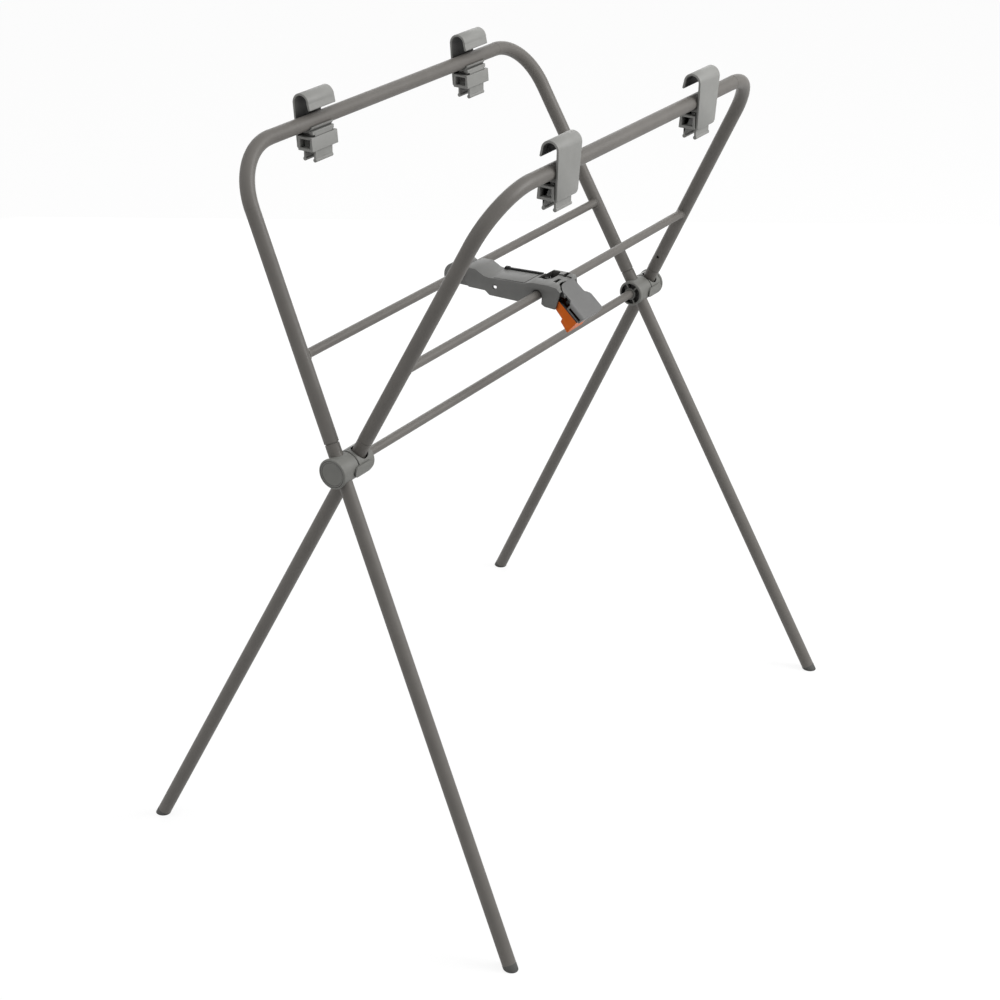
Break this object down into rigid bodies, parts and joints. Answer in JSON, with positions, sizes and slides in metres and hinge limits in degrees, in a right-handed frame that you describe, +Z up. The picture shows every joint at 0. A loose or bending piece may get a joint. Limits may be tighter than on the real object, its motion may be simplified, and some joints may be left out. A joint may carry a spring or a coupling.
{
  "type": "baby bath stand",
  "caption": "Folding baby bath stand: crossed tube frames on hubs, a lock arm with grip and squeeze lever between the cross bars, and turning rim clips with locking sleeves.",
  "frame": {"origin": "on the floor, under the middle of the stand", "axes": "X along the upper tubes, Y across the stand, +Z up"},
  "size_m": [0.9262, 0.6108, 0.9893],
  "materials": {
    "frame_tube": "satin warm dark grey powder coat",
    "foot_plastic": "matt black",
    "hub_plastic": "fine matt grain, mid grey",
    "clip_plastic": "fine matt grain, light greenish grey",
    "arm_plastic": "fine matt grain, dark grey",
    "strip_plastic": "matt black",
    "lever_plastic": "smooth orange",
    "washer_plastic": "smooth white",
    "steel": "zinc plated"
  },
  "bodies": {
    "frame_a": {"upper_frame_a": "frame_tube", "cross_bar_a": "frame_tube", "leg_a_near": "frame_tube", "leg_a_far": "frame_tube", "foot_caps_a": "foot_plastic", "hub_a_near": "hub_plastic", "hub_a_far": "hub_plastic", "hub_cap_near": "hub_plastic", "axle_tube": "frame_tube", "axle_inserts": "steel", "pivot_bolt_near": "steel", "pivot_bolt_far": "steel", "pivot_washer_near": "washer_plastic", "pivot_washer_far": "washer_plastic"},
    "frame_b": {"upper_frame_b": "frame_tube", "cross_bar_b": "frame_tube", "leg_b_near": "frame_tube", "leg_b_far": "frame_tube", "foot_caps_b": "foot_plastic", "hub_b_near": "hub_plastic", "hub_b_far": "hub_plastic", "hub_cap_far": "hub_plastic"},
    "arm": {"lock_arm": "arm_plastic", "arm_strip": "strip_plastic", "grip": "arm_plastic", "grip_screws": "steel", "lever_pin": "steel"},
    "lever": {"release_lever": "lever_plastic", "lever_spring": "steel"},
    "clip_a_near": {"hook_a_near": "clip_plastic", "jaw_a_near": "clip_plastic"},
    "sleeve_a_near": {"sleeve_a_near": "clip_plastic"},
    "clip_a_far": {"hook_a_far": "clip_plastic", "jaw_a_far": "clip_plastic"},
    "sleeve_a_far": {"sleeve_a_far": "clip_plastic"},
    "clip_b_near": {"hook_b_near": "clip_plastic", "jaw_b_near": "clip_plastic"},
    "sleeve_b_near": {"sleeve_b_near": "clip_plastic"},
    "clip_b_far": {"hook_b_far": "clip_plastic", "jaw_b_far": "clip_plastic"},
    "sleeve_b_far": {"sleeve_b_far": "clip_plastic"}
  },
  "joints": [
    {"name": "fold", "type": "hinge", "parent": "frame_a", "child": "frame_b", "pos_m": [0, 0, 0.59], "axis": [-1, 0, 0], "range_deg": [0, 44]},
    {"name": "arm_turn", "type": "hinge", "parent": "frame_a", "child": "arm", "pos_m": [-0.014, 0.0645, 0.719], "axis": [-1, 0, 0], "range_deg": [0, 118]},
    {"name": "lever_squeeze", "type": "hinge", "parent": "arm", "child": "lever", "pos_m": [-0.014, -0.0915, 0.713], "axis": [-1, 0, 0], "range_deg": [0, 10], "stiffness_Nm_per_rad": 0.3, "springref_deg": -28.65},
    {"name": "clip_a_near_turn", "type": "hinge", "parent": "frame_a", "child": "clip_a_near", "pos_m": [-0.178, 0.18, 0.95], "axis": [-1, 0, 0], "range_deg": [0, 40]},
    {"name": "sleeve_a_near_slide", "type": "slide", "parent": "clip_a_near", "child": "sleeve_a_near", "axis": [0, 0, -1], "range_m": [0, 0.008]},
    {"name": "clip_a_far_turn", "type": "hinge", "parent": "frame_a", "child": "clip_a_far", "pos_m": [0.178, 0.18, 0.95], "axis": [-1, 0, 0], "range_deg": [0, 40]},
    {"name": "sleeve_a_far_slide", "type": "slide", "parent": "clip_a_far", "child": "sleeve_a_far", "axis": [0, 0, -1], "range_m": [0, 0.008]},
    {"name": "clip_b_near_turn", "type": "hinge", "parent": "frame_b", "child": "clip_b_near", "pos_m": [-0.178, -0.18, 0.95], "axis": [1, 0, 0], "range_deg": [0, 40]},
    {"name": "sleeve_b_near_slide", "type": "slide", "parent": "clip_b_near", "child": "sleeve_b_near", "axis": [0, 0, -1], "range_m": [0, 0.008]},
    {"name": "clip_b_far_turn", "type": "hinge", "parent": "frame_b", "child": "clip_b_far", "pos_m": [0.178, -0.18, 0.95], "axis": [1, 0, 0], "range_deg": [0, 40]},
    {"name": "sleeve_b_far_slide", "type": "slide", "parent": "clip_b_far", "child": "sleeve_b_far", "axis": [0, 0, -1], "range_m": [0, 0.008]}
  ],
  "couplings": [
    {"joint": "arm_turn", "follows": "fold", "ratio": 2.65}
  ]
}
